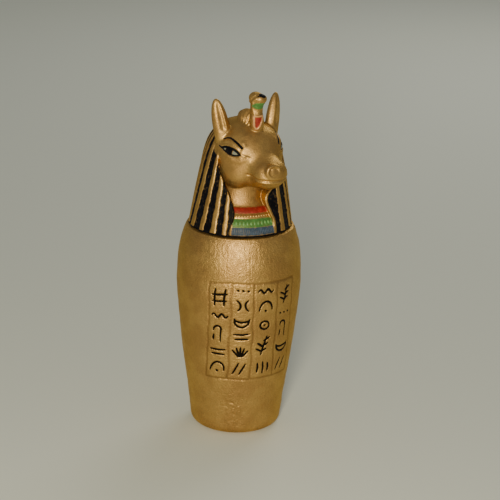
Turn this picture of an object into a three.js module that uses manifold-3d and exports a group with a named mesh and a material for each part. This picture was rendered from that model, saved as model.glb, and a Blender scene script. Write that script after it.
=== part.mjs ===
// Souvenir canopic jar with a jackal-head lid, cast in resin.
// Millimetres, +Z up, the front faces -Y, origin at the centre of the underside.
import * as THREE from 'three';
import { mergeVertices } from 'three/addons/utils/BufferGeometryUtils.js';
import Module from 'manifold-3d';

const wasm = await Module();
wasm.setup();

// ---- Driving dimensions ----
const RIM_Z = 77.85;            // top of the jar's flat rim
const REST_GAP = 0.3;           // clearance between the jar and the lid
const LID_Z = RIM_Z + REST_GAP; // underside of the lid

const FOOT_FLAT_R = 13.6;       // flat that the jar stands on
const FOOT_ROUND = 3.4;         // rounding of the bottom edge
const BELLY_R = 23.0;           // widest radius, at the shoulder
const RIM_R = 19.9;             // outside of the rim
const FLOOR_T = 5.0;            // floor thickness
const WALL_T = 4.0;             // wall thickness
const MOUTH_R = 14.2;           // opening in the rim
const MOUTH_DEPTH = 6.0;        // straight part of the opening
const JAR_SIDES = 60;

const PLUG_R = 13.8;            // plug under the lid, which sits in the mouth
const PLUG_DEPTH = 4.5;
const PLUG_CHAMFER = 0.8;

const CLOTH_R = 19.1;           // headcloth radius at its lower edge
const CLOTH_TAPER = 0.175;      // radius lost for each millimetre of height
const CLOTH_TOP = 39.8;         // height of the headcloth over the rim
const CLOTH_DOME = 9;           // the larger, the flatter the crown
const CLOTH_ROWS = 10;
const GROOVE = 0.45;            // depth of the painted grooves between the ridges
const RIDGES = 18;              // spaces between ridges, round the back
const RIDGE_FROM = 41;          // first ridge right of the collar, degrees from the front
const RIDGE_TO = 328;           // last ridge, left of the collar
const RIDGE_HALF = 2.2;         // half the flat top of a ridge, degrees
const RIDGE_FLANK = 1.6;        // each flank of a ridge, degrees

const HEAD_TURN = THREE.MathUtils.degToRad(15.5); // the head looks this far to its left
const HEAD_SIDES = 30;
const HEAD_ROWS = 26;
const NOSE_CROWDING = 1.35;     // over 1 gives smaller facets towards the nose

// Face opening cut in the headcloth, seen from the front: across, height over the rim.
const OPENING_RIGHT = [[9.0, -1], [7.1, 4.5], [5.5, 9], [5.9, 13], [8.4, 17.5], [12.6, 22.5], [13.9, 28], [11.8, 33.5]];
const OPENING_LEFT = [[-10.3, 33.5], [-10.9, 28], [-10.7, 22.5], [-9.8, 16], [-7.9, 9], [-6.1, 4.5], [-8.3, -1]];
const OPENING_BACK = 4.5;       // the cut ends this far in front of the axis
const OPENING_REACH = 30;       // further forward than any cloth
// Collar and neck inside that opening: radius, height over the rim.
const COLLAR = [[19.0, 0], [18.0, 3], [16.4, 6], [14.2, 9], [13.0, 10], [12.0, 14], [11.5, 20], [10.5, 34]];
const COLLAR_SIDES = 48;

// ---- Small helpers ----
const clamp = (value, low, high) => Math.min(high, Math.max(low, value));

function solidFrom(geometry) {
  const bare = new THREE.BufferGeometry();
  bare.setAttribute('position', geometry.getAttribute('position'));
  bare.setIndex(geometry.getIndex());
  const merged = mergeVertices(bare, 1e-4);
  const index = merged.getIndex().array;
  const faces = [];
  for (let i = 0; i < index.length; i += 3) {
    const [a, b, c] = index.slice(i, i + 3);
    if (a !== b && b !== c && c !== a) faces.push(a, b, c);
  }
  const vertProperties = Float32Array.from(merged.getAttribute('position').array);
  const mesh = new wasm.Mesh({ numProp: 3, vertProperties, triVerts: Uint32Array.from(faces) });
  mesh.merge();
  return new wasm.Manifold(mesh);
}

function geometryFrom(solid) {
  const { vertProperties, triVerts } = solid.getMesh();
  const geometry = new THREE.BufferGeometry();
  geometry.setAttribute('position', new THREE.Float32BufferAttribute(vertProperties, 3));
  geometry.setIndex(Array.from(triVerts));
  geometry.computeVertexNormals();
  return geometry;
}

// A turned shape round +Z from a profile of [radius, height] points.
function turned(points, sides) {
  const profile = points.map(([r, z]) => new THREE.Vector2(r, z));
  return new THREE.LatheGeometry(profile, sides).rotateX(Math.PI / 2);
}

// ---- Jar body ----
function footArc(steps) {
  return Array.from({ length: steps + 1 }, (_, i) => {
    const a = (i / steps) * Math.PI / 2;
    return [FOOT_FLAT_R + FOOT_ROUND * Math.sin(a), FOOT_ROUND * (1 - Math.cos(a))];
  });
}

function jarOutside() {
  const footR = FOOT_FLAT_R + FOOT_ROUND;
  const side = new THREE.SplineCurve([
    new THREE.Vector2(footR, FOOT_ROUND),
    new THREE.Vector2(footR + 1.3, 0.18 * RIM_Z),
    new THREE.Vector2(BELLY_R - 2.3, 0.4 * RIM_Z),
    new THREE.Vector2(BELLY_R - 0.15, 0.67 * RIM_Z),
    new THREE.Vector2(BELLY_R, 0.77 * RIM_Z),
    new THREE.Vector2(BELLY_R - 0.55, 0.88 * RIM_Z),
    new THREE.Vector2(RIM_R + 1.0, 0.965 * RIM_Z),
    new THREE.Vector2(RIM_R, RIM_Z),
  ]);
  return [...footArc(3), ...side.getPoints(12).slice(1).map((p) => [p.x, p.y])];
}

function jarInside() {
  const shoulderZ = RIM_Z - MOUTH_DEPTH;
  const hollow = new THREE.SplineCurve([
    new THREE.Vector2(MOUTH_R, shoulderZ),
    new THREE.Vector2(BELLY_R - WALL_T - 1.2, shoulderZ - 5),
    new THREE.Vector2(BELLY_R - WALL_T, 0.72 * RIM_Z),
    new THREE.Vector2(BELLY_R - WALL_T - 2.3, 0.4 * RIM_Z),
    new THREE.Vector2(FOOT_FLAT_R, FLOOR_T + 6),
    new THREE.Vector2(FOOT_FLAT_R - 4, FLOOR_T),
  ]);
  return [[MOUTH_R, RIM_Z], ...hollow.getPoints(8).map((p) => [p.x, p.y])];
}

function jarBody() {
  return turned([[0, 0], ...jarOutside(), ...jarInside(), [0, FLOOR_T]], JAR_SIDES);
}

// ---- Headcloth: turned, with ridges down it, and an opening for the face ----
function ridgeAngles() {
  const step = (RIDGE_TO - RIDGE_FROM) / RIDGES;
  return Array.from({ length: RIDGES + 1 }, (_, i) => RIDGE_FROM + i * step);
}

// Facets part on both sides of each ridge, and in between over the front.
function clothColumns() {
  const edge = RIDGE_HALF + RIDGE_FLANK;
  const ridges = ridgeAngles().flatMap((a) => [a - edge, a - RIDGE_HALF, a + RIDGE_HALF, a + edge]);
  return [-24, -16, 0, 16, 24, 33, ...ridges];
}

function ridgeHeight(degrees) {
  const away = Math.min(...ridgeAngles().map((a) => Math.abs(a - degrees)));
  return 1 - THREE.MathUtils.smoothstep(away, RIDGE_HALF, RIDGE_HALF + RIDGE_FLANK);
}

function clothRadius(degrees, height) {
  const crown = Math.sqrt(Math.max(0, 1 - (height / CLOTH_TOP) ** CLOTH_DOME));
  const radius = (CLOTH_R - CLOTH_TAPER * height) * crown;
  return radius - GROOVE * crown * (1 - ridgeHeight(degrees));
}

function headcloth() {
  const columns = clothColumns();
  const heights = Array.from({ length: CLOTH_ROWS }, (_, i) => CLOTH_TOP * (1 - (1 - i / CLOTH_ROWS) ** 1.7));
  const form = turned([[0, 0], ...heights.map((h) => [1, h]), [0, CLOTH_TOP]], columns.length);
  const position = form.getAttribute('position');
  for (let i = 0; i < position.count; i += 1) {
    const x = position.getX(i);
    const y = position.getY(i);
    if (Math.hypot(x, y) < 0.5) continue;
    const turn = (Math.atan2(y, x) / (2 * Math.PI) + 1) * columns.length;
    const degrees = columns[Math.round(turn) % columns.length];
    const radius = clothRadius(degrees, position.getZ(i));
    const angle = THREE.MathUtils.degToRad(degrees);
    position.setXY(i, radius * Math.sin(angle), -radius * Math.cos(angle));
  }
  return solidFrom(form);
}

function faceOpening() {
  const edge = [...OPENING_RIGHT, ...OPENING_LEFT].map(([x, h]) => new THREE.Vector2(x, h));
  const outline = new THREE.SplineCurve(edge).getPoints(44);
  const depth = OPENING_REACH - OPENING_BACK;
  const cutter = new THREE.ExtrudeGeometry(new THREE.Shape(outline), { depth, bevelEnabled: false });
  return solidFrom(cutter.rotateX(Math.PI / 2).translate(0, -OPENING_BACK, 0));
}

function collarAndNeck() {
  const [, topHeight] = COLLAR[COLLAR.length - 1];
  return solidFrom(turned([[0, 0], ...COLLAR, [0, topHeight]], COLLAR_SIDES));
}

function bust() {
  return headcloth().subtract(faceOpening()).add(collarAndNeck());
}

// ---- Jackal head: soft forms blended into one, in the head's own frame ----
// In this frame +X is forward, +Y is to the head's left seen from the front, +Z is up.
const HEAD_CENTRE = new THREE.Vector3(6, 0, 27);
const SKULL = { centre: [2.8, 0, 28.5], radii: [12.3, 12.7, 11.4] };
const CHEEK = { centre: [6, 6, 22], radii: [7.6, 5.6, 6.2] };
const LIPS = { centre: [18.8, 0.9, 23.5], radii: [4.6, 6.0, 4.6] };
const NOSE = { centre: [21.4, -0.6, 25.1], radii: [2.1, 3.1, 2.75] };
const MUZZLE = { from: [8, 0, 27], to: [17.8, 0, 23.6], radii: [8.6, 4.4], wide: 1.12 };
const JAW = { from: [6, 0, 20.5], to: [18.2, 0.6, 20.6], radii: [5, 2.7], wide: 1.4 };

// Distance to an ellipsoid, good near its surface.
function toEllipsoid(p, { centre, radii }) {
  const [x, y, z] = [p.x - centre[0], p.y - centre[1], p.z - centre[2]];
  const near = Math.hypot(x / radii[0], y / radii[1], z / radii[2]);
  const slope = Math.hypot(x / radii[0] ** 2, y / radii[1] ** 2, z / radii[2] ** 2);
  return near * (near - 1) / Math.max(slope, 1e-9);
}

// Distance to a rounded cone between two points, widened sideways.
function toTaper(p, { from, to, radii, wide }) {
  const a = new THREE.Vector3(...from);
  const axis = new THREE.Vector3(...to).sub(a);
  const q = p.clone().sub(a);
  const t = clamp(q.dot(axis) / axis.lengthSq(), 0, 1);
  q.addScaledVector(axis, -t);
  return Math.hypot(q.x, q.y / wide, q.z) - THREE.MathUtils.lerp(radii[0], radii[1], t);
}

// The smaller of two distances, with a fillet where they meet.
function blend(a, b, fillet) {
  const t = clamp(0.5 + 0.5 * (b - a) / fillet, 0, 1);
  return THREE.MathUtils.lerp(b, a, t) - fillet * t * (1 - t);
}

function toHead(p) {
  const mirrored = new THREE.Vector3(p.x, Math.abs(p.y), p.z);
  let d = blend(toEllipsoid(p, SKULL), toTaper(p, MUZZLE), 4);
  d = blend(d, toEllipsoid(mirrored, CHEEK), 3);
  d = blend(d, toTaper(p, JAW), 1.2);
  d = blend(d, toEllipsoid(p, LIPS), 2);
  return blend(d, toEllipsoid(p, NOSE), 0.6);
}

// Turns a shape from the head's frame into the lid's, which the head is turned in.
function ontoLid(geometry) {
  return geometry.rotateZ(HEAD_TURN - Math.PI / 2);
}

function head() {
  const rows = Array.from({ length: HEAD_ROWS + 1 }, (_, i) => {
    const a = Math.PI * (i / HEAD_ROWS) ** NOSE_CROWDING;
    return new THREE.Vector2(Math.sin(a), -Math.cos(a));
  });
  rows[0].x = 0;
  rows[HEAD_ROWS].x = 0;
  const form = new THREE.LatheGeometry(rows, HEAD_SIDES).rotateZ(Math.PI / 2);
  const position = form.getAttribute('position');
  for (let i = 0; i < position.count; i += 1) {
    const ray = new THREE.Vector3().fromBufferAttribute(position, i).normalize();
    const point = HEAD_CENTRE.clone();
    for (let step = 0; step < 60; step += 1) point.addScaledVector(ray, -0.8 * toHead(point));
    position.setXYZ(i, point.x, point.y, point.z);
  }
  return solidFrom(ontoLid(form));
}

// ---- Ears: tall pointed leaves, hollowed in front ----
const EAR_BASE = new THREE.Vector3(2.6, 10.4, 36.5);
const EAR_TIP = new THREE.Vector3(1.2, 12.6, 48.0);
const EAR_MIDDLE = 0.3;         // the pair stands this far to the head's left
const EAR_HALF_WIDTH = 3.05;
const EAR_FLATNESS = 0.72;
const EAR_TURN = THREE.MathUtils.degToRad(20); // each ear opens this far outwards
const EAR_ROOT = 0.35;          // share of its length that runs down into the head

function earLeaf(widthShare, depthShare, forward, side) {
  const length = EAR_TIP.distanceTo(EAR_BASE);
  const steps = 9;
  const outline = Array.from({ length: steps + 1 }, (_, i) => {
    const t = -EAR_ROOT + (1 + EAR_ROOT) * i / steps;
    const width = EAR_HALF_WIDTH * (1 - Math.max(t, 0) ** 2.2) ** 0.5;
    return [i === steps ? 0 : width, t * length];
  });
  const leaf = turned([[0, -EAR_ROOT * length], ...outline], 16);
  leaf.scale(EAR_FLATNESS * depthShare, widthShare, 1).translate(forward, 0, 0).rotateZ(EAR_TURN);
  const up = EAR_TIP.clone().sub(EAR_BASE).normalize();
  leaf.applyQuaternion(new THREE.Quaternion().setFromUnitVectors(new THREE.Vector3(0, 0, 1), up));
  leaf.translate(EAR_BASE.x, EAR_BASE.y, EAR_BASE.z);
  const own = side > 0 ? leaf : mirrorSideways(leaf);
  return own.translate(0, EAR_MIDDLE, 0);
}

function mirrorSideways(geometry) {
  geometry.scale(1, -1, 1);
  const index = geometry.getIndex();
  for (let i = 0; i < index.count; i += 3) {
    const first = index.getX(i);
    index.setX(i, index.getX(i + 1));
    index.setX(i + 1, first);
  }
  return geometry;
}

function ear(side) {
  const outside = solidFrom(ontoLid(earLeaf(1, 1, 0, side)));
  const hollow = solidFrom(ontoLid(earLeaf(0.5, 0.75, EAR_HALF_WIDTH * EAR_FLATNESS, side)));
  return outside.subtract(hollow);
}

// ---- Cobra on the forehead, and the crest of hair behind it ----
const COBRA_X = 9.9;            // how far forward it stands
const COBRA_Z = 37.4;           // where it rises from the forehead

function ellipsoid([x, y, z], [rx, ry, rz], sides = 14) {
  const ball = new THREE.SphereGeometry(1, sides, 10).rotateX(Math.PI / 2);
  return solidFrom(ontoLid(ball.scale(rx, ry, rz).translate(x, y, z)));
}

function rod([x0, z0], [x1, z1], radius, wide) {
  const along = new THREE.Vector3(x1 - x0, 0, z1 - z0);
  const capsule = new THREE.CapsuleGeometry(radius, along.length(), 4, 14);
  const up = new THREE.Vector3(0, 1, 0);
  capsule.rotateY(Math.PI / 14).applyQuaternion(new THREE.Quaternion().setFromUnitVectors(up, along.normalize()));
  capsule.scale(1, wide, 1).translate((x0 + x1) / 2, 0, (z0 + z1) / 2);
  return solidFrom(ontoLid(capsule));
}

function cobra() {
  const hood = ellipsoid([COBRA_X + 0.2, 0, COBRA_Z + 2.2], [2.0, 2.5, 4.4]);
  const neck = rod([COBRA_X - 0.4, COBRA_Z + 4], [COBRA_X - 0.4, COBRA_Z + 9.5], 2.05, 1.1);
  const face = rod([COBRA_X - 1.4, COBRA_Z + 11.5], [COBRA_X + 1.0, COBRA_Z + 11.1], 1.85, 1.15);
  return hood.add(neck).add(face);
}

function crest() {
  return ellipsoid([3.2, 0, 38.6], [7.2, 3.4, 5.4], 18);
}

// ---- Plug that sits in the mouth of the jar ----
function plug() {
  const overlap = 1;
  return solidFrom(turned([
    [0, -PLUG_DEPTH],
    [PLUG_R - PLUG_CHAMFER, -PLUG_DEPTH],
    [PLUG_R, -PLUG_DEPTH + PLUG_CHAMFER],
    [PLUG_R, overlap],
    [0, overlap],
  ], 48));
}

function jackalHeadLid() {
  return [head(), ear(1), ear(-1), crest(), cobra(), plug()]
    .reduce((whole, piece) => whole.add(piece), bust());
}

// ---- Assembly ----
const goldPaint = new THREE.MeshStandardMaterial({ color: 0xb08a4c, roughness: 0.42, metalness: 0.55 });
goldPaint.name = 'gold_paint';
const lidPaint = new THREE.MeshStandardMaterial({ color: 0xa9844a, roughness: 0.4, metalness: 0.5 });
lidPaint.name = 'painted_gold_lid';

const body = new THREE.Mesh(geometryFrom(solidFrom(jarBody())), goldPaint);
body.name = 'jar_body';

const lid = new THREE.Mesh(geometryFrom(jackalHeadLid()), lidPaint);
lid.name = 'jackal_head_lid';
lid.position.z = LID_Z;

const jar = new THREE.Group();
jar.name = 'canopic_jar';
jar.add(body, lid);

export default jar;
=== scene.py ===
"""Souvenir canopic jar with a jackal-head lid: the finished look, built round the CAD frame."""
import math

import bpy
import numpy as np
from mathutils import Matrix, Vector


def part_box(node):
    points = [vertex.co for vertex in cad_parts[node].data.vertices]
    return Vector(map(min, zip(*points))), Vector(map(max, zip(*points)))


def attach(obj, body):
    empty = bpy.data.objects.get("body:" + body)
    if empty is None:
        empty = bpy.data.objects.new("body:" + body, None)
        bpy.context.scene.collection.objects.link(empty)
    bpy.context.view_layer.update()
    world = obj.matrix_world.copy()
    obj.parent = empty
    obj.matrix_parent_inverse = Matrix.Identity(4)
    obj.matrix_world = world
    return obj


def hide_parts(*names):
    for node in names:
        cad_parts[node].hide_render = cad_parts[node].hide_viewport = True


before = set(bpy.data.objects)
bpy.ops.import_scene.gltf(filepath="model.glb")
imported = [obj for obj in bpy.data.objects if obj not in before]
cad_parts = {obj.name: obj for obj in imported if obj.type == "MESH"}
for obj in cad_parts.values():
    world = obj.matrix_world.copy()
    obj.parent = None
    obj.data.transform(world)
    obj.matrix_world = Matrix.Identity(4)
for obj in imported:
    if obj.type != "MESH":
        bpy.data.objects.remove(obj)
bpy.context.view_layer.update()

# ==================================================================================
# Jar body. A hollow cup cast in resin, tapering to its foot, with a full shoulder and
# a flat rim. All sizes below are in millimetres, and become metres in mesh_from().
# ==================================================================================
MM = 0.001
RIM_Z = 77.85
FOOT_FLAT_R, FOOT_ROUND = 13.6, 3.4
BELLY_R, RIM_R = 23.0, 19.9
FLOOR_T, WALL_T = 5.0, 4.0
MOUTH_R, MOUTH_DEPTH = 14.2, 6.0
JAR_ROW, JAR_FINE_ROW = 0.42, 0.27       # height of the rows of faces, and in the panel
PANEL_LOW, PANEL_HIGH = 23.9, 61.7       # heights of the panel's lower and upper border
PANEL_TURN = 52                          # the panel's columns of faces reach this far, degrees
PANEL_STEP, JAR_STEP = 0.68, 2.0         # width of the columns of faces, degrees


def curve_through(points, steps):
    """A smooth curve through the points, with so many steps between each two."""
    p = np.array(points, float)
    padded = np.vstack([p[:1], p, p[-1:]])
    t = np.linspace(0, 1, steps, endpoint=False)[:, None]
    spans = []
    for a, b, c, d in zip(padded, padded[1:], padded[2:], padded[3:]):
        leave, arrive = (c - a) / 2, (d - b) / 2
        cubic = 2 * b - 2 * c + leave + arrive
        square = 3 * c - 3 * b - 2 * leave - arrive
        spans.append(cubic * t**3 + square * t**2 + leave * t + b)
    return np.vstack([*spans, p[-1:]])


def evenly(line, gap):
    """The same line with its points a gap apart, both ends kept."""
    along = np.concatenate([[0], np.cumsum(np.hypot(*np.diff(line, axis=0).T))])
    stations = np.linspace(0, along[-1], max(2, round(along[-1] / gap) + 1))
    return np.column_stack([np.interp(stations, along, line[:, k]) for k in range(2)])


def smooth_step(value, low, high):
    t = np.clip((value - low) / (high - low), 0, 1)
    return t * t * (3 - 2 * t)


def jar_outside():
    quarter = np.radians(np.linspace(0, 90, 12))
    foot = np.column_stack([FOOT_FLAT_R + FOOT_ROUND * np.sin(quarter), FOOT_ROUND * (1 - np.cos(quarter))])
    foot_r = FOOT_FLAT_R + FOOT_ROUND
    side = curve_through([
        (foot_r, FOOT_ROUND),
        (foot_r + 1.3, 0.18 * RIM_Z),
        (BELLY_R - 2.3, 0.4 * RIM_Z),
        (BELLY_R - 0.15, 0.67 * RIM_Z),
        (BELLY_R, 0.77 * RIM_Z),
        (BELLY_R - 0.55, 0.88 * RIM_Z),
        (RIM_R + 1.0, 0.965 * RIM_Z),
        (RIM_R, RIM_Z - 0.35),
    ], 40)
    below = side[side[:, 1] < PANEL_LOW - 1.5]
    panel = side[(side[:, 1] >= PANEL_LOW - 1.5) & (side[:, 1] <= PANEL_HIGH + 1.5)]
    above = side[side[:, 1] > PANEL_HIGH + 1.5]
    lip = [(RIM_R - 0.12, RIM_Z - 0.1), (RIM_R - 0.4, RIM_Z)]
    return np.vstack([
        evenly(foot, 0.5)[:-1],
        evenly(below, JAR_ROW),
        evenly(panel, JAR_FINE_ROW),
        evenly(above, JAR_ROW),
        lip,
    ])


def jar_inside():
    shoulder_z = RIM_Z - MOUTH_DEPTH
    hollow = curve_through([
        (MOUTH_R, shoulder_z),
        (BELLY_R - WALL_T - 1.2, shoulder_z - 5),
        (BELLY_R - WALL_T, 0.72 * RIM_Z),
        (BELLY_R - WALL_T - 2.3, 0.4 * RIM_Z),
        (FOOT_FLAT_R, FLOOR_T + 6),
        (FOOT_FLAT_R - 4, FLOOR_T),
    ], 12)
    top = np.array([(RIM_R - 2.2, RIM_Z), (RIM_R - 4.2, RIM_Z), (MOUTH_R, RIM_Z)])
    return np.vstack([top, evenly(np.vstack([[(MOUTH_R, RIM_Z - 0.5)], hollow]), 1.6)])


# ---- The inscribed panel: four columns of strokes that stand for no writing ----
PANEL_LINES = (-17.0, -8.8, -0.2, 9.2, 17.4)   # upright lines, millimetres round the jar from the front
PANEL_MARGIN = 1.9                             # from a border to the first stroke
STROKE_HALF, STROKE_DEPTH = 0.42, 0.34
SCRIBE_HALF, SCRIBE_DEPTH = 0.42, 0.16
SCUFF, SCUFF_SIZE = (-5.7, 12.2), 3.6          # a rubbed patch: millimetres round the jar, height
CHIPS = ((-2.5, 8.2), (-11.5, 6.1), (-16.2, 33.4), (-6.7, 61.0), (-4.3, 12.0))


def arc(centre, radius, start, end, squash=1.0, steps=10):
    turn = np.radians(np.linspace(start, end, steps))
    return [(centre[0] + radius * math.cos(a), centre[1] + squash * radius * math.sin(a)) for a in turn]


def panel_marks():
    """Each kind of mark as its height and its strokes, round its own middle, in millimetres."""
    tick = [(0, -2.2), (0.2, 0.2), (-0.1, 2.2)]
    return {
        "bars": (2.4, [[(-2.8, 0.9), (0.4, 0.7), (2.9, 1.0)], [(-2.1, -0.9), (2.5, -1.1)]]),
        "ticks": (4.6, [[(x + dx, z * tall) for dx, z in tick]
                        for x, tall in ((-2.1, 0.8), (0.1, 1.0), (2.2, 0.7))]),
        "bowl": (3.4, [arc((0, 1.5), 3.0, 180, 360, 1.05), arc((0, 1.5), 3.0, 180, 360, 0.4)]),
        "wave": (1.8, [[(x, 0.7 * math.sin(2.1 * x)) for x in np.linspace(-3, 3, 22)]]),
        "dots": (1.1, [[(x - 0.25, 0.1), (x + 0.3, -0.05)] for x in (-2.0, 0.0, 2.1)]),
        "arch": (4.6, [arc((0, -1.8), 2.6, 8, 172, 1.5), [(-0.3, -1.2), (0.3, -1.6)]]),
        "banks": (5.0, [arc((-3.4, 0), 2.6, -58, 58), arc((3.6, 0), 2.6, 122, 238)]),
        "fern": (7.2, [[(-0.9, -3.5), (0.1, 0), (0.9, 3.5)]]
                 + [[(-0.6 + 0.25 * z, z), (1.7 + 0.2 * z, z + 1.0)] for z in (-2.0, 0.0, 2.0)]
                 + [[(-0.5 + 0.25 * z, z - 0.9), (-2.6 + 0.2 * z, z + 0.2)] for z in (-1.0, 1.0)]),
        "disc": (3.6, [arc((0, 0), 1.7, 20, 385, 1.0, 16), [(-0.2, 0), (0.25, 0.1)]]),
        "rungs": (6.6, [[(-1.9, -3.2), (-1.6, 3.2)], [(1.7, -3.1), (2.0, 3.0)]]
                  + [[(-2.7, z), (2.7, z + 0.3)] for z in (-1.4, 1.2)]),
        "rays": (4.4, [[(0.25 * x, -2.1), (x, 2.0 - 0.16 * x * x)] for x in (-2.7, -1.2, 0.3, 1.7, 3.0)]),
        "slants": (4.4, [[(-2.4, -2.0), (-0.6, 2.1)], [(0.2, -2.1), (2.1, 1.9)]]),
        "reed": (6.0, [[(0.9, -3.0), (0.7, 1.4)] + arc((-0.6, 1.5), 1.4, 0, 190, 1.0, 8),
                       [(-2.0, -2.6), (-1.8, -0.6)]]),
    }


PANEL_COLUMNS = (
    ("rungs", "wave", "reed", "bars", "arch"),
    ("dots", "banks", "bowl", "bars", "rays", "slants"),
    ("wave", "arch", "disc", "fern", "ticks"),
    ("fern", "dots", "reed", "bowl", "slants"),
)


def panel_strokes():
    """Every stroke of the panel, unrolled: millimetres round the jar, height."""
    marks = panel_marks()
    placed = []
    for left, right, kinds in zip(PANEL_LINES, PANEL_LINES[1:], PANEL_COLUMNS):
        room = PANEL_HIGH - PANEL_LOW - 2 * PANEL_MARGIN - sum(marks[kind][0] for kind in kinds)
        gap = room / (len(kinds) - 1)
        top = PANEL_HIGH - PANEL_MARGIN
        for kind in kinds:
            height, strokes = marks[kind]
            middle = np.array([(left + right) / 2, top - height / 2])
            placed += [np.array(stroke) + middle for stroke in strokes]
            top -= height + gap
    return placed


def away_from(paths, points, taper=0.0):
    """Distance from each point to the nearest path. A taper thins both ends of each path."""
    nearest = np.full(len(points), 1e3)
    for path in paths:
        share = np.linspace(0, 1, len(path))
        for a, b, s0, s1 in zip(path, path[1:], share, share[1:]):
            span = b - a
            t = np.clip((points - a) @ span / (span @ span), 0, 1)
            off = points - a - t[:, None] * span
            thinner = taper * np.abs(2 * (s0 + (s1 - s0) * t) - 1) ** 3
            nearest = np.minimum(nearest, np.sqrt((off * off).sum(1)) + thinner)
    return nearest


def bell(distance, width):
    return np.exp(-((distance / width) ** 2))


def ripple(points, size, seed):
    """Soft, aperiodic unevenness between about -1 and 1, with humps of the given size."""
    rng = np.random.default_rng(seed)
    total = np.zeros(len(points))
    for _ in range(14):
        way = rng.normal(size=3)
        way *= 2 * math.pi / (size * rng.uniform(1.5, 3.2) * np.linalg.norm(way))
        total += np.sin(points @ way + rng.uniform(0, 2 * math.pi))
    return total / math.sqrt(14)


def mesh_from(name, points, quads, layers):
    """A mesh object at the origin from millimetre points, with one number per vertex a layer."""
    mesh = bpy.data.meshes.new(name)
    mesh.from_pydata((np.asarray(points) * MM).tolist(), [], [list(map(int, face)) for face in quads])
    for layer, values in layers.items():
        stored = mesh.attributes.new(layer, "FLOAT", "POINT")
        stored.data.foreach_set("value", np.asarray(values, np.float32))
    mesh.shade_smooth()
    mesh.validate()
    thing = bpy.data.objects.new(name, mesh)
    bpy.context.scene.collection.objects.link(thing)
    return thing


def build_jar():
    profile = np.vstack([jar_outside(), jar_inside()])
    front = np.arange(-PANEL_TURN, PANEL_TURN, PANEL_STEP)
    behind = np.linspace(front[-1] + PANEL_STEP, 360 - PANEL_TURN, round((360 - 2 * PANEL_TURN) / JAR_STEP))
    turns = np.radians(np.concatenate([front, behind[:-1]]))
    r, z = np.repeat(profile, len(turns), axis=0).T
    a = np.tile(turns, len(profile))
    wrapped = (a + math.pi) % (2 * math.pi) - math.pi
    unrolled = np.column_stack([wrapped * r, z])
    outside = np.repeat(np.arange(len(profile)) < len(jar_outside()), len(turns))

    ink = np.full(len(r), 9.0)
    scribe = np.full(len(r), 9.0)
    near = outside & (np.abs(unrolled[:, 0]) < 20) & (z > PANEL_LOW - 1.4) & (z < PANEL_HIGH + 1.4)
    wander = 0.22 * ripple(np.column_stack([unrolled[near], 0 * z[near]]), 5.0, 3)
    ink[near] = away_from(panel_strokes(), unrolled[near] + wander[:, None], 0.14) - STROKE_HALF
    uprights = [np.array([(x, PANEL_LOW), (x, PANEL_HIGH)]) for x in PANEL_LINES]
    sides = (PANEL_LINES[0], PANEL_LINES[-1])
    borders = [np.array([(sides[0], h), (sides[1], h)]) for h in (PANEL_LOW, PANEL_HIGH)]
    scribe[near] = away_from(uprights + borders, unrolled[near] + 1.2 * wander[:, None]) - SCRIBE_HALF

    cut = STROKE_DEPTH * smooth_step(-ink, -0.18, 0.26) + SCRIBE_DEPTH * smooth_step(-scribe, -0.3, 0.42)
    place = np.column_stack([r * np.sin(a), -r * np.cos(a), z])
    peel = 0.028 * ripple(place, 0.62, 5) + 0.04 * ripple(place, 2.4, 6) - 0.05
    scuffed = bell(np.hypot(*(unrolled - SCUFF).T), SCUFF_SIZE)
    peel = peel + 0.13 * scuffed * ripple(place, 0.7, 9)
    chips = away_from([np.array([chip, chip + (0.3, 0.1)]) for chip in np.array(CHIPS)], unrolled)
    peel = peel + 0.14 * bell(chips - 0.35, 0.2) - 0.12 * bell(chips, 0.25)
    standing = smooth_step(z, 0.4, 3.0) * smooth_step(-z, -RIM_Z + 0.2, -RIM_Z + 1.6)
    r = r + np.where(outside, standing * peel - cut, 0)

    rows, columns = len(profile), len(turns)
    points = np.column_stack([r * np.sin(a), -r * np.cos(a), z])
    points = np.vstack([points, [(0, 0, 0), (0, 0, FLOOR_T)]])
    row, column = np.meshgrid(np.arange(rows - 1), np.arange(columns), indexing="ij")
    after = (column + 1) % columns
    quads = np.stack([row * columns + column, row * columns + after,
                      (row + 1) * columns + after, (row + 1) * columns + column], -1).reshape(-1, 4)
    under, floor = rows * columns, rows * columns + 1
    ring = np.arange(columns)
    last = (rows - 1) * columns
    caps = [(under, (i + 1) % columns, i) for i in ring]
    caps += [(floor, last + i, last + (i + 1) % columns) for i in ring]
    ends = [9.0, 9.0]
    layers = {"ink": [*ink, *ends], "scribe": [*scribe, *ends]}
    return mesh_from("jar_body_gold", points, quads.tolist() + caps, layers)


def new_material(name):
    """An empty node material, its shader and helpers to add and join nodes."""
    material = bpy.data.materials.new(name)
    material.use_nodes = True
    tree = material.node_tree
    shader = tree.nodes["Principled BSDF"]

    def add(kind, **values):
        node = tree.nodes.new(kind)
        for key, value in values.items():
            if hasattr(node, key):
                setattr(node, key, value)
            else:
                node.inputs[key.replace("_", " ")].default_value = value
        return node

    def join(source, target):
        tree.links.new(source, target)

    return material, shader, add, join


def noise(add, join, where, scale, detail=3.0, roughness=0.55):
    grain = add("ShaderNodeTexNoise", Scale=scale, Detail=detail, Roughness=roughness)
    join(where, grain.inputs["Vector"])
    return grain.outputs["Fac"]


def ramp(add, join, value, low, high, to_low=0.0, to_high=1.0):
    """A value taken smoothly from one range to another."""
    node = add("ShaderNodeMapRange", interpolation_type="SMOOTHSTEP")
    for socket, number in zip(("From Min", "From Max", "To Min", "To Max"), (low, high, to_low, to_high)):
        node.inputs[socket].default_value = number
    join(value, node.inputs["Value"])
    return node.outputs["Result"]


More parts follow.
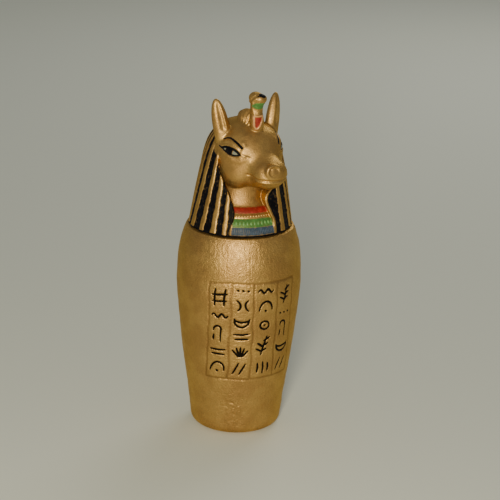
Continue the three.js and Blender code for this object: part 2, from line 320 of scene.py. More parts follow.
def mixed(add, join, factor, first, second):
    """Two colours mixed; each is a socket or a plain colour."""
    node = add("ShaderNodeMix", data_type="RGBA")
    join(factor, node.inputs["Factor"])
    for colour, socket in ((first, node.inputs[6]), (second, node.inputs[7])):
        if isinstance(colour, tuple):
            socket.default_value = (*colour, 1)
        else:
            join(colour, socket)
    return node.outputs[2]


def sums(add, join, operation, first, second):
    node = add("ShaderNodeMath", operation=operation)
    for value, socket in ((first, node.inputs[0]), (second, node.inputs[1])):
        if isinstance(value, (int, float)):
            socket.default_value = value
        else:
            join(value, socket)
    return node.outputs[0]


def layer_mask(add, join, where, layer, blur, waver, scale):
    """1 inside a painted area and 0 outside it, its edge wavering as a brush line does."""
    stored = add("ShaderNodeAttribute", attribute_name=layer)
    unsteady = sums(add, join, "SUBTRACT", noise(add, join, where, scale), 0.5)
    edge = sums(add, join, "MULTIPLY_ADD", unsteady, waver)
    join(stored.outputs["Fac"], edge.node.inputs[2])
    return ramp(add, join, edge, blur, -blur)


GOLD_LIGHT, GOLD_MID, GOLD_DEEP = (0.57, 0.345, 0.105), (0.45, 0.255, 0.080), (0.20, 0.10, 0.031)
INK_BLACK = (0.003, 0.002, 0.002)
GLINT = (1.0, 0.82, 0.42, 1)


def gold_paint(add, join, where):
    """Bronze-gold paint: fine flake, softly mottled, thinner and browner here and there."""
    drift = ramp(add, join, noise(add, join, where, 120, 4), 0.35, 0.68)
    flake = ramp(add, join, noise(add, join, where, 2600, 2), 0.35, 0.7)
    body = mixed(add, join, drift, GOLD_MID, GOLD_LIGHT)
    return mixed(add, join, sums(add, join, "MULTIPLY", flake, 0.28), body, GOLD_DEEP)


def gold_bump(add, join, where, shader, strength):
    """The orange peel of sprayed paint, finer than the mesh carries."""
    bump = add("ShaderNodeBump", Strength=strength, Distance=0.00018)
    join(noise(add, join, where, 2000, 2, 0.6), bump.inputs["Height"])
    join(bump.outputs["Normal"], shader.inputs["Normal"])


def jar_gold():
    material, shader, add, join = new_material("gold_paint_orange_peel")
    where = add("ShaderNodeTexCoord").outputs["Object"]
    gold = gold_paint(add, join, where)
    scribed = layer_mask(add, join, where, "scribe", 0.30, 0.5, 700)
    browned = mixed(add, join, sums(add, join, "MULTIPLY", scribed, 0.55), gold, GOLD_DEEP)
    inked = layer_mask(add, join, where, "ink", 0.07, 0.35, 1500)
    stains = ramp(add, join, noise(add, join, where, 330, 2), 0.73, 0.79)
    stained = mixed(add, join, sums(add, join, "MULTIPLY", stains, 0.5), browned, GOLD_DEEP)
    join(mixed(add, join, inked, stained, INK_BLACK), shader.inputs["Base Color"])
    join(ramp(add, join, inked, 0, 1, 0.86, 0.0), shader.inputs["Metallic"])
    join(ramp(add, join, inked, 0, 1, 0.5, 0.1), shader.inputs["Specular IOR Level"])
    rough = ramp(add, join, noise(add, join, where, 500, 3), 0.3, 0.7, 0.36, 0.5)
    dull_ink = sums(add, join, "MULTIPLY", inked, 0.55)
    join(sums(add, join, "MAXIMUM", rough, dull_ink), shader.inputs["Roughness"])
    shader.inputs["Specular Tint"].default_value = GLINT
    gold_bump(add, join, where, shader, 1.0)
    return material


jar = build_jar()
jar.data.materials.append(jar_gold())
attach(jar, "root")
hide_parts("jar_body")

# ==================================================================================
# Lid. One resin casting: a striped headcloth with its lappets, a banded collar, the
# jackal's neck, head and ears, a crest of hair and a cobra on the forehead. Its forms
# are distances in millimetres, blended as wax is, and heights are over the lid's underside.
# ==================================================================================
lid_low, lid_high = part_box("jackal_head_lid")
PLUG_R, PLUG_DEPTH, PLUG_CHAMFER = 13.8, 4.5, 0.8
LID_Z = lid_low.z / MM + PLUG_DEPTH
CLOTH_R, CLOTH_TAPER, CLOTH_TOP, CLOTH_DOME = 19.1, 0.175, 39.8, 9
CLOTH_LEAN = 0.6                          # the cloth is this much fuller on the head's left
GROOVE = 0.5
RIDGE_FROM, RIDGE_TO, RIDGES = 42.5, 327.4, 19
RIDGE_LEAN = 0.55                         # how far the ridges lean to the face, degrees a millimetre
STRIPE_TOP = 35.4                         # the painted stripes end at this height
HEM = 1.15                                # gold edge of the cloth on the head's left
HEAD_TURN = math.radians(15.5)            # the head looks this far to its left

# Edges of the face opening, seen from the front: height, millimetres to the side.
OPENING_RIGHT = curve_through([
    (-1, 8.3), (4.8, 7.7), (7, 6.8), (9.3, 5.8), (11.3, 4.9), (13.2, 4.5),
    (15.3, 5.3), (18.5, 9.2), (22.5, 13.0), (28, 13.9), (40, 12),
], 6)
OPENING_LEFT = curve_through([
    (-1, -8.0), (3.5, -7.5), (7.5, -6.4), (10.6, -6.8), (13.3, -7.6),
    (17.4, -9.0), (22.5, -10.6), (29, -10.9), (40, -10),
], 6)
OPENING_BACK = 4.5                        # the opening is cut back to here, behind the lid's front
# Collar and neck inside it: height, radius.
NECK = curve_through([
    (-1, 19.0), (3, 18.0), (6, 16.4), (9, 14.2), (10.4, 13.0), (14, 12.0), (20, 11.5), (40, 10),
], 8)
COLLAR_BANDS = {"blue": (0.7, 3.5), "green": (3.5, 6.3), "plain": (6.3, 7.9), "red": (7.9, 9.8)}
BAND_SWELL = 0.3


def blend(a, b, fillet):
    """The nearer of two forms, with a fillet where they meet."""
    t = np.clip(0.5 + 0.5 * (b - a) / fillet, 0, 1)
    return b + (a - b) * t - fillet * t * (1 - t)


def carve(a, b, fillet):
    """What two forms share, with a rounded edge."""
    return -blend(-a, -b, fillet)


def ellipsoid(f, s, h, centre, radii):
    q = ((f - centre[0]) / radii[0], (s - centre[1]) / radii[1], (h - centre[2]) / radii[2])
    near = np.sqrt(q[0] ** 2 + q[1] ** 2 + q[2] ** 2)
    slope = np.sqrt((q[0] / radii[0]) ** 2 + (q[1] / radii[1]) ** 2 + (q[2] / radii[2]) ** 2)
    return near * (near - 1) / np.maximum(slope, 1e-6)


def taper(f, s, h, a, b, r0, r1, wide=1.0):
    """A rounded cone between two points, widened sideways."""
    axis = np.subtract(b, a)
    t = np.clip(((f - a[0]) * axis[0] + (s - a[1]) * axis[1] + (h - a[2]) * axis[2]) / (axis @ axis), 0, 1)
    off = (f - a[0] - t * axis[0], (s - a[1] - t * axis[1]) / wide, h - a[2] - t * axis[2])
    return np.sqrt(off[0] ** 2 + off[1] ** 2 + off[2] ** 2) - (r0 + (r1 - r0) * t)


def stroke(f, s, h, points, start=0.0, end=None):
    """Distance from a line through the points, drawn with a width that changes evenly along it."""
    radii = np.linspace(start, start if end is None else end, len(points))
    nearest = 1e3
    for a, b, r0, r1 in zip(points, points[1:], radii, radii[1:]):
        nearest = np.minimum(nearest, taper(f, s, h, a, b, r0, r1))
    return nearest


def around(x, y):
    """Distance from the lid's axis, and degrees from its front."""
    return np.hypot(x, y), np.degrees(np.arctan2(x, -y))


def ridge_lines():
    """Where each gold ridge meets the lid's edge, and half its width, in degrees. No two are alike."""
    rng = np.random.default_rng(8)
    middles = np.linspace(RIDGE_FROM, RIDGE_TO, RIDGES) + rng.normal(0, 0.7, RIDGES)
    halves = 3.0 + rng.normal(0, 0.35, RIDGES)
    middles[[1, -5, -4]] += (3.0, -4.0, -4.5)
    halves[[0, -4]] += (0.9, 1.6)
    return middles, halves


RIDGE_MIDDLES, RIDGE_HALVES = ridge_lines()


def off_ridges(degrees, h):
    """Degrees outside the nearest gold ridge; under 0 on it."""
    turned = (degrees + 180) % 360 - 180
    lean = RIDGE_LEAN * np.sin(np.radians(np.clip((np.abs(turned) - 20) * 1.125, 0, 180)))
    at_edge = degrees + np.sign(turned) * lean * np.clip(h, 0, 40)
    at_edge = at_edge + 0.35 * np.sin(0.83 * h + 0.21 * degrees) + 0.2 * np.sin(1.9 * h - 0.37 * degrees)
    nearest = np.full(np.shape(at_edge), 99.0)
    for middle, half in zip(RIDGE_MIDDLES, RIDGE_HALVES):
        nearest = np.minimum(nearest, np.abs((at_edge - middle + 180) % 360 - 180) - half)
    return nearest


def opening_edge(x, y, h):
    """Millimetres from the edge of the face opening, over 0 on the cloth."""
    left = np.interp(h, OPENING_LEFT[:, 0], OPENING_LEFT[:, 1])
    right = np.interp(h, OPENING_RIGHT[:, 0], OPENING_RIGHT[:, 1])
    return np.maximum(np.maximum(left - x, x - right), y + OPENING_BACK)


def stripe_paint(x, y, h):
    """Under 0 in the black grooves between the gold ridges and hem."""
    rho, degrees = around(x, y)
    groove = np.radians(-off_ridges(degrees, h)) * rho
    inside = carve(groove, np.where(x > 0, HEM, -0.4) - opening_edge(x, y, h), 0.7)
    return carve(inside, h - STRIPE_TOP, 1.5)


def headcloth(x, y, h):
    rho = np.hypot(x, y)
    crown = np.sqrt(np.maximum(1 - (np.clip(h, 0, CLOTH_TOP - 0.01) / CLOTH_TOP) ** CLOTH_DOME, 0))
    on_left = np.clip(x / np.maximum(rho, 1), 0, 1)
    fuller = CLOTH_LEAN * on_left * np.sin(math.pi * np.clip(h / CLOTH_TOP, 0, 1))
    stripe = stripe_paint(x, y, h)
    radius = (CLOTH_R - CLOTH_TAPER * np.clip(h, 0, CLOTH_TOP)) * crown + fuller
    radius = radius - GROOVE * crown * smooth_step(-stripe, -0.5, 0.55)
    cloth = np.maximum(0.9 * (rho - radius), h - CLOTH_TOP)
    return carve(cloth, -opening_edge(x, y, h), 0.8)


def neck_and_collar(x, y, h):
    rho = np.hypot(x, y)
    radius = np.interp(h, NECK[:, 0], NECK[:, 1])
    radius = radius - 1.4 * smooth_step(opening_edge(x, y, h), 0.3, 1.6)
    for low, high in COLLAR_BANDS.values():
        from_middle = (2 * h - low - high) / (high - low)
        radius = radius + BAND_SWELL * np.sqrt(np.maximum(0, 1 - from_middle ** 2))
    return np.maximum(0.8 * (rho - radius), h - 34)


# ---- Jackal head, in its own frame: forward, sideways, height ----
SKULL = ((2.8, 0, 28.5), (12.3, 12.7, 11.4))
CHEEK = ((6.0, 6.0, 22.0), (7.6, 5.6, 6.2))
LIPS = ((18.8, 0.9, 23.5), (4.6, 6.0, 4.6))
SNOUT = ((8, 0, 27.0), (17.8, 0, 23.6), 8.6, 4.4, 1.12)    # two ends, their radii, widening
JAW = ((6, 0, 20.5), (18.2, 0.6, 20.6), 5.0, 2.7, 1.4)
NOSE_PAD, NOSE_WIDE, NOSE_TALL = (21.7, -0.6, 25.1), 3.1, 2.75
NOSE_THICK, NOSE_ROUND = 1.8, 0.75
NOSTRIL = (1.1, 0.9)                      # sideways and up from the pad's middle
EYE_INNER, EYE_OUTER = np.array([12.5, 8.4, 29.65]), np.array([5.9, 11.95, 31.2])
EYE_HALF = 4.0
BROW = [(5.1, 10.95, 34.1), (6.2, 10.1, 34.65), (7.5, 9.45, 34.8),
        (9.3, 9.0, 34.25), (11.0, 8.35, 33.3), (12.5, 7.6, 32.0)]
LID_FOLD = [(6.6, 10.9, 33.6), (8.4, 10.1, 33.6), (10.0, 9.5, 33.0), (11.6, 8.5, 31.9)]
INNER_FOLD = [(12.3, 6.9, 33.7), (13.0, 6.7, 32.5), (13.1, 7.4, 31.3),
              (13.2, 8.0, 29.8), (12.9, 8.6, 28.7)]
UNDER_FOLD = [(9.2, 11.3, 28.5), (11.0, 10.2, 27.4), (13.0, 8.6, 27.3), (14.8, 6.6, 28.6)]
MOUTH_F, MOUTH_H, MOUTH_FALL = 14.6, 22.75, 0.13


def head_frame(x, y):
    sine, cosine = math.sin(HEAD_TURN), math.cos(HEAD_TURN)
    return x * sine - y * cosine, x * cosine + y * sine


def eye_frame(f, s, h):
    """Place on the eye's own plane: towards the nose, up, and off it."""
    inward = (EYE_INNER - EYE_OUTER) / np.linalg.norm(EYE_INNER - EYE_OUTER)
    middle = (EYE_INNER + EYE_OUTER) / 2
    out = middle - np.array([2.8, 0, 28.0])
    out -= inward * (out @ inward)
    out /= np.linalg.norm(out)
    up = np.cross(inward, out)
    up *= np.sign(up[2])
    q = (f - middle[0], s - middle[1], h - middle[2])
    return [q[0] * way[0] + q[1] * way[1] + q[2] * way[2] for way in (inward, up, out)]


def eye_outline(a, b):
    """Under 0 inside the almond between the lids."""
    upper = 1.15 * np.maximum(1 - np.abs(a / EYE_HALF) ** 2.4, -0.6)
    lower = -1.02 * np.maximum(1 - (a / EYE_HALF) ** 2, -0.6) * (1 + 0.1 * a)
    return np.maximum(b - upper, lower - b)


def head_relief(f, s, h):
    """How far carving stands over the plain form of the head."""
    side = np.abs(s)
    a, b, off = eye_frame(f, side, h)
    outline = eye_outline(a, b)
    local = smooth_step(-np.sqrt(a**2 + b**2 + off**2), -9, -6)
    eye = 0.3 * smooth_step(-outline, 0.0, 0.9)
    eye = eye - 0.2 * bell(outline, 0.3) + 0.22 * bell(outline - 0.8, 0.35)
    folds = 0.34 * bell(stroke(f, side, h, LID_FOLD), 0.75)
    folds = folds + 0.22 * bell(stroke(f, side, h, INNER_FOLD), 0.8)
    folds = folds + 0.34 * bell(stroke(f, side, h, UNDER_FOLD), 0.8)
    relief = local * eye + folds - 0.18 * bell(stroke(f, side, h, BROW), 0.4)
    at_front = smooth_step(f, MOUTH_F - 0.6, MOUTH_F + 0.8)
    slit = MOUTH_H - MOUTH_FALL * (f - MOUTH_F)
    lips = 0.26 * bell(h - slit + 0.95, 0.45) * smooth_step(f, 18, 21) + 0.12 * bell(h - slit - 0.9, 0.5)
    return relief + at_front * (lips - 0.42 * bell(h - slit, 0.33))


def nose_pad(f, s, h):
    """A rounded oval disc with a raised rim, a sunken middle and two nostrils."""
    across, up = s - NOSE_PAD[1], h - NOSE_PAD[2]
    round_it = NOSE_WIDE * np.hypot(across / NOSE_WIDE, up / NOSE_TALL)
    edge = round_it - NOSE_WIDE + NOSE_ROUND
    face = np.abs(f - NOSE_PAD[0]) - NOSE_THICK + NOSE_ROUND
    outside = np.hypot(np.maximum(edge, 0), np.maximum(face, 0))
    disc = np.minimum(np.maximum(edge, face), 0) + outside - NOSE_ROUND
    on_front = smooth_step(f, NOSE_PAD[0] + 0.4, NOSE_PAD[0] + 1.0)
    holes = np.hypot(np.abs(across) - NOSTRIL[0], up - NOSTRIL[1])
    sunken = 0.5 * smooth_step(-round_it, -2.3, -1.5) - 0.2 * bell(np.hypot(across, up + 0.3), 0.7)
    return disc + on_front * (sunken + 0.55 * bell(holes, 0.42))


def jackal_head(f, s, h):
    side = np.abs(s)
    form = ellipsoid(f, s, h, *SKULL)
    form = blend(form, taper(f, s, h, *SNOUT), 4.0)
    form = blend(form, ellipsoid(f, side, h, *CHEEK), 3.0)
    form = blend(form, taper(f, s, h, *JAW), 1.2)
    form = blend(form, ellipsoid(f, s, h, *LIPS), 3.2)
    form = blend(form, nose_pad(f, s, h), 0.5)
    return form - head_relief(f, s, h)


# ---- Ears, cobra and crest ----
EAR_BASE, EAR_TIP = np.array([2.6, 10.4, 36.5]), np.array([1.2, 12.6, 48.0])
EAR_HALF_WIDTH, EAR_FLATNESS, EAR_TURN = 3.05, 0.72, math.radians(20)
EAR_MIDDLE = 0.3                          # the pair stands this far to the head's left
COBRA_F, COBRA_H = 9.9, 37.4
COBRA_FOOT = ((COBRA_F + 0.1, -0.1, COBRA_H + 2.2), (2.1, 2.6, 4.4))
# Two ends, the radius at each and the widening of a rounded cone.
COBRA_HOOD = ((COBRA_F - 0.8, -0.1, COBRA_H + 4), (COBRA_F - 0.6, 0, COBRA_H + 9.5), 2.2, 2.2, 1.05)
COBRA_HEAD = ((COBRA_F - 1.5, -0.1, COBRA_H + 11.5), (COBRA_F + 1.2, 0.55, COBRA_H + 11.3), 2.0, 1.8, 1.25)
CREST = ((4.0, 0, 38.3), (6.4, 3.2, 5.0))
HOOD_EDGE = [(10.3, -2.4, 47.6), (10.1, -2.3, 46), (10.05, -2.15, 44.6), (10.9, -1.8, 43.1)]
ROPES = (
    [(8.4, -2.4, 47.6), (9.2, -2.3, 49.0), (10.3, -1.4, 50.3)],
    [(9.6, -2.4, 47.6), (11.4, -1.9, 49.0)],
)
CROWN_PATCH, CROWN_SIZE = (11.9, 0.9, 50.6), 1.5
CROWN_HOOK = [(11.7, -1.1, 49.95), (12.3, -0.4, 50.1), (12.5, 0.2, 50.3)]


def ear(f, s, h):
    axis = EAR_TIP - EAR_BASE
    length = np.linalg.norm(axis)
    axis = axis / length
    q = (f - EAR_BASE[0], np.abs(s - EAR_MIDDLE) - EAR_BASE[1], h - EAR_BASE[2])
    t = (q[0] * axis[0] + q[1] * axis[1] + q[2] * axis[2]) / length
    front = np.array([math.cos(EAR_TURN), math.sin(EAR_TURN), 0])
    front -= axis * (front @ axis)
    front /= np.linalg.norm(front)
    across = np.cross(front, axis)
    w = q[0] * across[0] + q[1] * across[1] + q[2] * across[2]
    d = q[0] * front[0] + q[1] * front[1] + q[2] * front[2]
    half = np.maximum(EAR_HALF_WIDTH * (1 - np.clip(t, 0, 1) ** 2.2) ** 0.5, 0.05)
    deep = half * EAR_FLATNESS
    leaf = (np.sqrt((w / half) ** 2 + (d / deep) ** 2) - 1) * deep
    leaf = np.maximum(np.maximum(leaf, (t - 1) * length), (-t - 0.35) * length)
    share = w / half
    facing = smooth_step(d, 0, 0.5) * smooth_step(t, -0.05, 0.12) * smooth_step(-t, -0.97, -0.8)
    fold = 0.17 * bell(share - 0.1, 0.34) - 0.09 * bell(share - 0.5, 0.16)
    return leaf + half * facing * fold


def cobra(f, s, h):
    form = ellipsoid(f, s, h, *COBRA_FOOT)
    form = blend(form, taper(f, s, h, *COBRA_HOOD), 1.0)
    form = blend(form, taper(f, s, h, *COBRA_HEAD), 1.2)
    front = smooth_step(f, COBRA_F - 0.3, COBRA_F + 0.5)
    gem = jewel_outline(s, h)
    relief = front * (0.26 * bell(gem - 0.42, 0.3) - 0.1 * smooth_step(-gem, 0, 0.5))
    relief = relief + front * 0.15 * smooth_step(-green_outline(s, h), -0.15, 0.15)
    relief = relief + 0.25 * bell(stroke(f, s, h, HOOD_EDGE), 0.4)
    for rope in ROPES:
        relief = relief + 0.4 * bell(stroke(f, s, h, rope), 0.38) * (0.8 + 0.2 * np.sin(5 * (h + f)))
    return form - relief


def jewel_outline(s, h):
    """Under 0 inside the tapering stone on the cobra's hood."""
    middle = -0.5 - 0.2 * (42.3 - h)
    half = 1.25 * np.clip((h - 38.5) / 3.8, 0, 1) ** 0.4
    return np.maximum(np.maximum(np.abs(s - middle) - half, h - 42.3), 38.5 - h)


def green_outline(s, h):
    """Under 0 inside the oval patch on the cobra's neck."""
    return 1.2 * (np.hypot((s + 0.1) / 2.45, (h - 46.4) / 1.25) - 1)


def crest(f, s, h):
    form = ellipsoid(f, s, h, *CREST)
    fan = np.arctan2(h - 34.0, f - 6.5)
    hair = 0.4 * np.sin(26 * fan + 1.5 * np.sin(1.1 * s)) * smooth_step(h, 37.5, 40.5)
    return form - hair


def plug(x, y, h):
    rho = np.hypot(x, y)
    side = np.maximum(rho - PLUG_R, np.abs(h + PLUG_DEPTH / 2 - 1) - PLUG_DEPTH / 2 - 1)
    return np.maximum(side, (rho - PLUG_R - h - PLUG_DEPTH + PLUG_CHAMFER) * 0.7)


def lid(x, y, h):
    f, s = head_frame(x, y)
    form = blend(neck_and_collar(x, y, h), headcloth(x, y, h), 0.4)
    form = blend(form, jackal_head(f, s, h), 0.35)
    form = blend(form, crest(f, s, h), 0.8)
    form = blend(form, ear(f, s, h), 0.6)
    form = blend(form, cobra(f, s, h), 0.5)
    return np.minimum(np.maximum(form, -h), plug(x, y, h))


CELL = 0.3


def skin(distance, low, high, cell):
    """Closed quads over the zero surface of a distance: one point for each cell that it crosses."""
    axes = [np.arange(a, b + cell, cell) for a, b in zip(low, high)]
    x, y = np.meshgrid(axes[0], axes[1], indexing="ij")
    field = np.stack([distance(x, y, z) for z in axes[2]], axis=2)
    inside = field < 0
    corners = [(i, j, k) for i in (0, 1) for j in (0, 1) for k in (0, 1)]
    shape = [n - 1 for n in field.shape]
    count = sum(
        inside[i:i + shape[0], j:j + shape[1], k:k + shape[2]].astype(np.int8) for i, j, k in corners
    )
    cells = np.argwhere((count > 0) & (count < 8))
    total, hits = np.zeros((len(cells), 3)), np.zeros(len(cells))
    for start in corners:
        for axis in range(3):
            if start[axis]:
                continue
            end = list(start)
            end[axis] = 1
            a = field[tuple((cells + start).T)]
            b = field[tuple((cells + end).T)]
            cross = (a < 0) != (b < 0)
            point = np.tile(np.array(start, float), (len(cells), 1))
            point[cross, axis] = a[cross] / (a[cross] - b[cross])
            total[cross] += point[cross]
            hits += cross
    points = np.array([a[0] for a in axes]) + cell * (cells + total / hits[:, None])
    number = np.full(shape, -1)
    number[tuple(cells.T)] = np.arange(len(cells))
    quads = []
    for axis in range(3):
        ahead = np.moveaxis(inside, axis, 0)
        ids = np.moveaxis(number, axis, 0)
        change = ahead[:-1, 1:-1, 1:-1] != ahead[1:, 1:-1, 1:-1]
        i, j, k = np.nonzero(change)
        leaving = ahead[:-1, 1:-1, 1:-1][i, j, k]
        ring = np.stack([ids[i, j, k], ids[i, j + 1, k], ids[i, j + 1, k + 1], ids[i, j, k + 1]], -1)
        flip = leaving == (axis == 1)
        ring[flip] = ring[flip][:, ::-1]
        quads.append(ring)
    return points, np.vstack(quads)


def settle(points, distance, rounds=2, reach=0.05):
    """Moves points onto the zero surface."""
    for _ in range(rounds):
        x, y, z = points.T
        slope = np.column_stack([
            distance(x + reach, y, z) - distance(x - reach, y, z),
            distance(x, y + reach, z) - distance(x, y - reach, z),
            distance(x, y, z + reach) - distance(x, y, z - reach),
        ]) / (2 * reach)
        step = distance(x, y, z)[:, None] * slope / np.maximum((slope**2).sum(1), 0.2)[:, None]
        points = points - np.clip(step, -0.25 * CELL, 0.25 * CELL)
    return points


def lid_paint(x, y, h):
    """Distances to the painted areas, under 0 inside them."""
    f, s = head_frame(x, y)
    side = np.abs(s)
    on_cloth = opening_edge(x, y, h)
    in_head = np.minimum.reduce([jackal_head(f, s, h), ear(f, s, h), cobra(f, s, h), crest(f, s, h)])
    stripes = np.maximum(np.maximum(stripe_paint(x, y, h), headcloth(x, y, h) - 0.12), 0.16 - in_head)
    a, b, off = eye_frame(f, side, h)
    outline = eye_outline(a, b)
    near_eye = np.maximum(np.abs(off) - 2.5, np.abs(a) - 5.2)
    upper_lid = np.where(b > 0, 0.46, 0.32)
    lids = np.maximum(np.abs(outline) - upper_lid, near_eye)
    iris = np.maximum(np.maximum(outline, a - 1.05), -1.75 - a)
    sclera = np.maximum(np.maximum(outline, 1.15 - a), near_eye)
    brow = stroke(f, side, h, BROW, 0.30, 0.52)
    tail = stroke(f, side, h, [(6.0, 11.9, 31.2), (4.6, 12.2, 31.6)], 0.4, 0.3)
    eyes = np.minimum(np.minimum(lids, np.maximum(iris, near_eye)), np.minimum(brow, tail))
    crown = ellipsoid(f, s, h, CROWN_PATCH, (CROWN_SIZE,) * 3)
    cobra_mark = np.minimum(crown, stroke(f, s, h, CROWN_HOOK, 0.36))
    seam = h - 0.68
    black = np.minimum(np.minimum(stripes, eyes), np.minimum(cobra_mark, seam))

    collar = np.maximum(on_cloth, neck_and_collar(x, y, h) - 0.15)
    bands = {
        name: np.maximum(collar, np.maximum(low - h, h - high))
        for name, (low, high) in COLLAR_BANDS.items()
    }
    stone = np.maximum(jewel_outline(s, h), COBRA_F + 0.2 - f)
    green_patch = np.maximum(green_outline(s, h), COBRA_F - f)
    eye_white = np.maximum(np.maximum(outline + 0.25, a + 1.9), near_eye)
    # Painted shade: the neck between the collar and the jaw, marked to be darkened in the lid's colour.
    neck = np.maximum(np.maximum(on_cloth, 9.9 - h), np.maximum(h - 30, neck_and_collar(x, y, h) - 0.4))
    return {
        "black": black,
        "red": np.minimum(bands["red"], stone),
        "green": np.minimum(bands["green"], green_patch),
        "blue": bands["blue"],
        "white": np.minimum(sclera + 0.15, eye_white),
        "painted_neck_shade": neck,
        "rim": np.maximum(np.abs(jewel_outline(s, h) - 0.4) - 0.22, COBRA_F + 0.2 - f),
    }


LID_SPARE = 2.5                           # how far past the cast lid the finished skin is looked for


def build_lid():
    low = np.array([lid_low.x, lid_low.y, lid_low.z]) / MM - (LID_SPARE, LID_SPARE, LID_Z + LID_SPARE)
    high = np.array([lid_high.x, lid_high.y, lid_high.z]) / MM + (LID_SPARE, LID_SPARE, LID_SPARE - LID_Z)
    points, quads = skin(lid, low, high, CELL)
    points = settle(points, lid)
    layers = lid_paint(*points.T)
    return mesh_from("jackal_head_lid_painted", points + (0, 0, LID_Z), quads, layers)


def lid_finish():
    material, shader, add, join = new_material("hand_painted_gold_lid")
    where = add("ShaderNodeTexCoord").outputs["Object"]
    # Painted shade: the neck's gold is mixed 60% of the way to GOLD_DEEP.
    shaded_neck = sums(add, join, "MULTIPLY", layer_mask(add, join, where, "painted_neck_shade", 0.6, 0.8, 500), 0.6)
    colour = mixed(add, join, shaded_neck, gold_paint(add, join, where), GOLD_DEEP)
    coats = (
        ("rim", (0.50, 0.24, 0.10), 0.16),
        ("white", (0.19, 0.20, 0.15), 0.10),
        ("blue", (0.030, 0.055, 0.085), 0.16),
        ("green", (0.045, 0.135, 0.028), 0.16),
        ("red", (0.22, 0.014, 0.010), 0.13),
        ("black", (0.003, 0.003, 0.005), 0.10),
    )
    painted = None
    for layer, paint, blur in coats:
        mask = layer_mask(add, join, where, layer, blur, 0.35, 900)
        lighter = tuple(1.7 * c + 0.003 for c in paint)
        streaks = ramp(add, join, noise(add, join, where, 650, 4), 0.42, 0.75)
        colour = mixed(add, join, mask, colour, mixed(add, join, streaks, paint, lighter))
        painted = mask if painted is None else sums(add, join, "MAXIMUM", painted, mask)
    join(colour, shader.inputs["Base Color"])
    join(ramp(add, join, painted, 0, 1, 0.86, 0.0), shader.inputs["Metallic"])
    join(ramp(add, join, mask, 0, 1, 0.4, 0.08), shader.inputs["Specular IOR Level"])
    rough = ramp(add, join, noise(add, join, where, 500, 3), 0.3, 0.7, 0.38, 0.52)
    join(rough, shader.inputs["Roughness"])
    shader.inputs["Specular Tint"].default_value = GLINT
    gold_bump(add, join, where, shader, 0.5)
    return material


jackal_lid = build_lid()
jackal_lid.data.materials.append(lid_finish())
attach(jackal_lid, "root")
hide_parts("jackal_head_lid")

# ==================================================================================
# Collar trims. Ribs, petals and rings modelled in rows on the collar's bands and cast in
# one with the lid, each row touched in by hand with a little of its band's paint.
# ==================================================================================
COLLAR_TURN = 24.5                        # the trims reach this far from the front, degrees
COLLAR_LEAN = -24                         # the collar's slope, degrees


def trim_nodes():
    """A row of small rounded forms round an upright axis, leaning as the collar does."""
    tree = bpy.data.node_groups.new("collar_row", "GeometryNodeTree")
    tree.interface.new_socket("Geometry", in_out="OUTPUT", socket_type="NodeSocketGeometry")
    sockets = {}
    for label, kind in (("Count", "Int"), ("Radius", "Float"), ("Height", "Float"), ("Turn", "Float"),
                        ("Lean", "Float"), ("Size", "Vector"), ("Paint", "Material")):
        made = tree.interface.new_socket(label, in_out="INPUT", socket_type="NodeSocket" + kind)
        sockets[label] = made.identifier

    def node(kind, values=(), **settings):
        made = tree.nodes.new(kind)
        for key, value in settings.items():
            setattr(made, key, value)
        for place, value in dict(values).items():
            if isinstance(value, bpy.types.NodeSocket):
                tree.links.new(value, made.inputs[place])
            else:
                made.inputs[place].default_value = value
        return made

    def maths(operation, first, second=0.0):
        return node("ShaderNodeMath", {0: first, 1: second}, operation=operation).outputs[0]

    asked = node("NodeGroupInput").outputs
    last = maths("SUBTRACT", asked["Count"], 1)
    share = maths("DIVIDE", node("GeometryNodeInputIndex").outputs[0], last)
    turn = maths("MULTIPLY", maths("SUBTRACT", maths("MULTIPLY", share, 2), 1), asked["Turn"])
    place = node("ShaderNodeCombineXYZ", {
        0: maths("MULTIPLY", asked["Radius"], maths("SINE", turn)),
        1: maths("MULTIPLY", asked["Radius"], maths("MULTIPLY", maths("COSINE", turn), -1)),
        2: asked["Height"],
    }).outputs[0]
    facing = node("ShaderNodeCombineXYZ", {0: asked["Lean"], 2: turn}).outputs[0]
    row = node("GeometryNodePoints", {"Count": asked["Count"], "Position": place}).outputs[0]
    form = node("GeometryNodeMeshUVSphere", {"Segments": 8, "Rings": 6, "Radius": 1.0}).outputs[0]
    placed = node("GeometryNodeInstanceOnPoints", {
        "Points": row, "Instance": form, "Rotation": facing, "Scale": asked["Size"]}).outputs[0]
    real = node("GeometryNodeRealizeInstances", {0: placed}).outputs[0]
    coated = node("GeometryNodeSetMaterial", {0: real, "Material": asked["Paint"]}).outputs[0]
    tree.links.new(coated, node("NodeGroupOutput").inputs[0])
    return tree, sockets


ROW_TREE, ROW_SOCKETS = trim_nodes()


def collar_row(name, count, height, size, paint):
    """One row of trims as a plain mesh, sunk half into the collar at a height over the lid's underside."""
    empty = bpy.data.meshes.new(name)
    carrier = bpy.data.objects.new(name + "_row", empty)
    bpy.context.scene.collection.objects.link(carrier)
    grower = carrier.modifiers.new("row", "NODES")
    grower.node_group = ROW_TREE
    radius = np.interp(height, NECK[:, 0], NECK[:, 1]) + BAND_SWELL
    wanted = {"Count": count, "Radius": float(radius) * MM, "Height": (height + LID_Z) * MM,
              "Turn": math.radians(COLLAR_TURN), "Lean": math.radians(COLLAR_LEAN),
              "Size": [millimetres * MM for millimetres in size], "Paint": paint}
    for label, value in wanted.items():
        grower[ROW_SOCKETS[label]] = value
    carrier.update_tag()
    grown = carrier.evaluated_get(bpy.context.evaluated_depsgraph_get())
    mesh = bpy.data.meshes.new_from_object(grown)
    bpy.data.objects.remove(carrier)
    row = bpy.data.objects.new(name, mesh)
    mesh.shade_smooth()
    bpy.context.scene.collection.objects.link(row)
    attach(row, "root")
    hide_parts("jackal_head_lid")


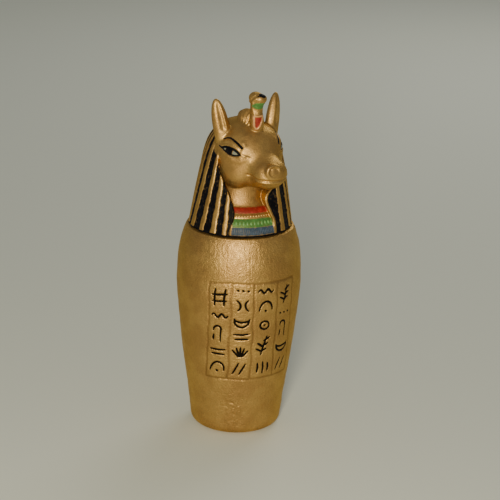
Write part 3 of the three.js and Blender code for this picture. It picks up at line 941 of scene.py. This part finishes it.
def trim_paint(name, colour, metallic):
    """Worn paint on a row of trims, paler where it is rubbed."""
    material, shader, add, join = new_material(name)
    where = add("ShaderNodeTexCoord").outputs["Object"]
    worn = ramp(add, join, noise(add, join, where, 700, 3), 0.42, 0.7)
    join(mixed(add, join, worn, colour, tuple(1.5 * c + 0.01 for c in colour)), shader.inputs["Base Color"])
    shader.inputs["Metallic"].default_value = metallic
    shader.inputs["Roughness"].default_value = 0.42
    return material


worn_blue = trim_paint("worn_blue", (0.022, 0.040, 0.070), 0)
worn_green = trim_paint("worn_green", (0.10, 0.23, 0.05), 0)
gold_beads = trim_paint("gold_beads", GOLD_LIGHT, 0.82)
# Name, how many, height, half sizes across, outward and up.
collar_row("collar_ribs_blue", 25, 2.1, (0.19, 0.16, 1.2), worn_blue)
collar_row("collar_petals_green", 12, 4.9, (0.42, 0.16, 0.75), worn_green)
collar_row("collar_rings_gold", 14, 7.1, (0.42, 0.24, 0.42), gold_beads)

# ==================================================================================
# Floor. A plain pale sheet under the jar, wide enough to fill the view.
# ==================================================================================
FLOOR_REACH = 6.0
corners = [(-FLOOR_REACH, -FLOOR_REACH, 0), (FLOOR_REACH, -FLOOR_REACH, 0),
           (FLOOR_REACH, FLOOR_REACH, 0), (-FLOOR_REACH, FLOOR_REACH, 0)]
sheet = bpy.data.meshes.new("floor")
sheet.from_pydata(corners, [], [(0, 1, 2, 3)])
floor = bpy.data.objects.new("floor", sheet)
bpy.context.scene.collection.objects.link(floor)
floor_paint, floor_shader = new_material("pale_floor")[:2]
floor_shader.inputs["Base Color"].default_value = (0.74, 0.75, 0.60, 1)
floor_shader.inputs["Roughness"].default_value = 0.9
sheet.materials.append(floor_paint)

# ==================================================================================
# Camera. A long lens a little above the jar, to the left of its front, leaning slightly.
# ==================================================================================
VIEW_AZIMUTH, VIEW_ELEVATION, VIEW_ROLL = (math.radians(a) for a in (-15.5, 18.5, 1.54))
VIEW_HEIGHT, VIEW_DISTANCE = 0.0673, 0.629
VIEW_SHIFT = 0.0212


def view_axes():
    a, e = VIEW_AZIMUTH, VIEW_ELEVATION
    back = Vector((math.sin(a) * math.cos(e), -math.cos(a) * math.cos(e), math.sin(e)))
    right = Vector((math.cos(a), math.sin(a), 0))
    up = back.cross(right)
    leaning_right = right * math.cos(VIEW_ROLL) + up * math.sin(VIEW_ROLL)
    return leaning_right, back.cross(leaning_right), back


lens = bpy.data.cameras.new("camera")
lens.lens = 122.4
lens.sensor_width = 36
lens.shift_x = VIEW_SHIFT
camera = bpy.data.objects.new("camera", lens)
bpy.context.scene.collection.objects.link(camera)
right, up, back = view_axes()
camera.matrix_world = Matrix.Translation(Vector((0, 0, VIEW_HEIGHT)) + back * VIEW_DISTANCE) @ Matrix(
    (right, up, back)).transposed().to_4x4()
bpy.context.scene.camera = camera


# ==================================================================================
# Light. A small soft lamp beside the lens, as a camera's flash is, with a wide pale
# sky round it and a weak lamp behind, so that every side can be seen.
# ==================================================================================
def lamp(name, place, target, size, watts, colour=(1, 1, 1)):
    light = bpy.data.lights.new(name, "AREA")
    light.shape = "DISK"
    light.size = size
    light.energy = watts
    light.color = colour
    thing = bpy.data.objects.new(name, light)
    thing.location = place
    thing.rotation_euler = (Vector(target) - Vector(place)).to_track_quat("-Z", "Y").to_euler()
    bpy.context.scene.collection.objects.link(thing)
    return thing


middle = Vector((0, 0, VIEW_HEIGHT))
lamp("lamp_by_lens", middle + back * 0.6 - right * 0.05 - up * 0.03, middle, 0.09, 3.3, (1, 0.94, 0.78))
lamp("lamp_behind", (0.5, 0.6, 0.6), middle, 0.5, 2.0)

world = bpy.data.worlds.new("pale_sky")
world.use_nodes = True
world.node_tree.nodes["Background"].inputs["Color"].default_value = (0.84, 0.87, 0.90, 1)
world.node_tree.nodes["Background"].inputs["Strength"].default_value = 0.27
bpy.context.scene.world = world
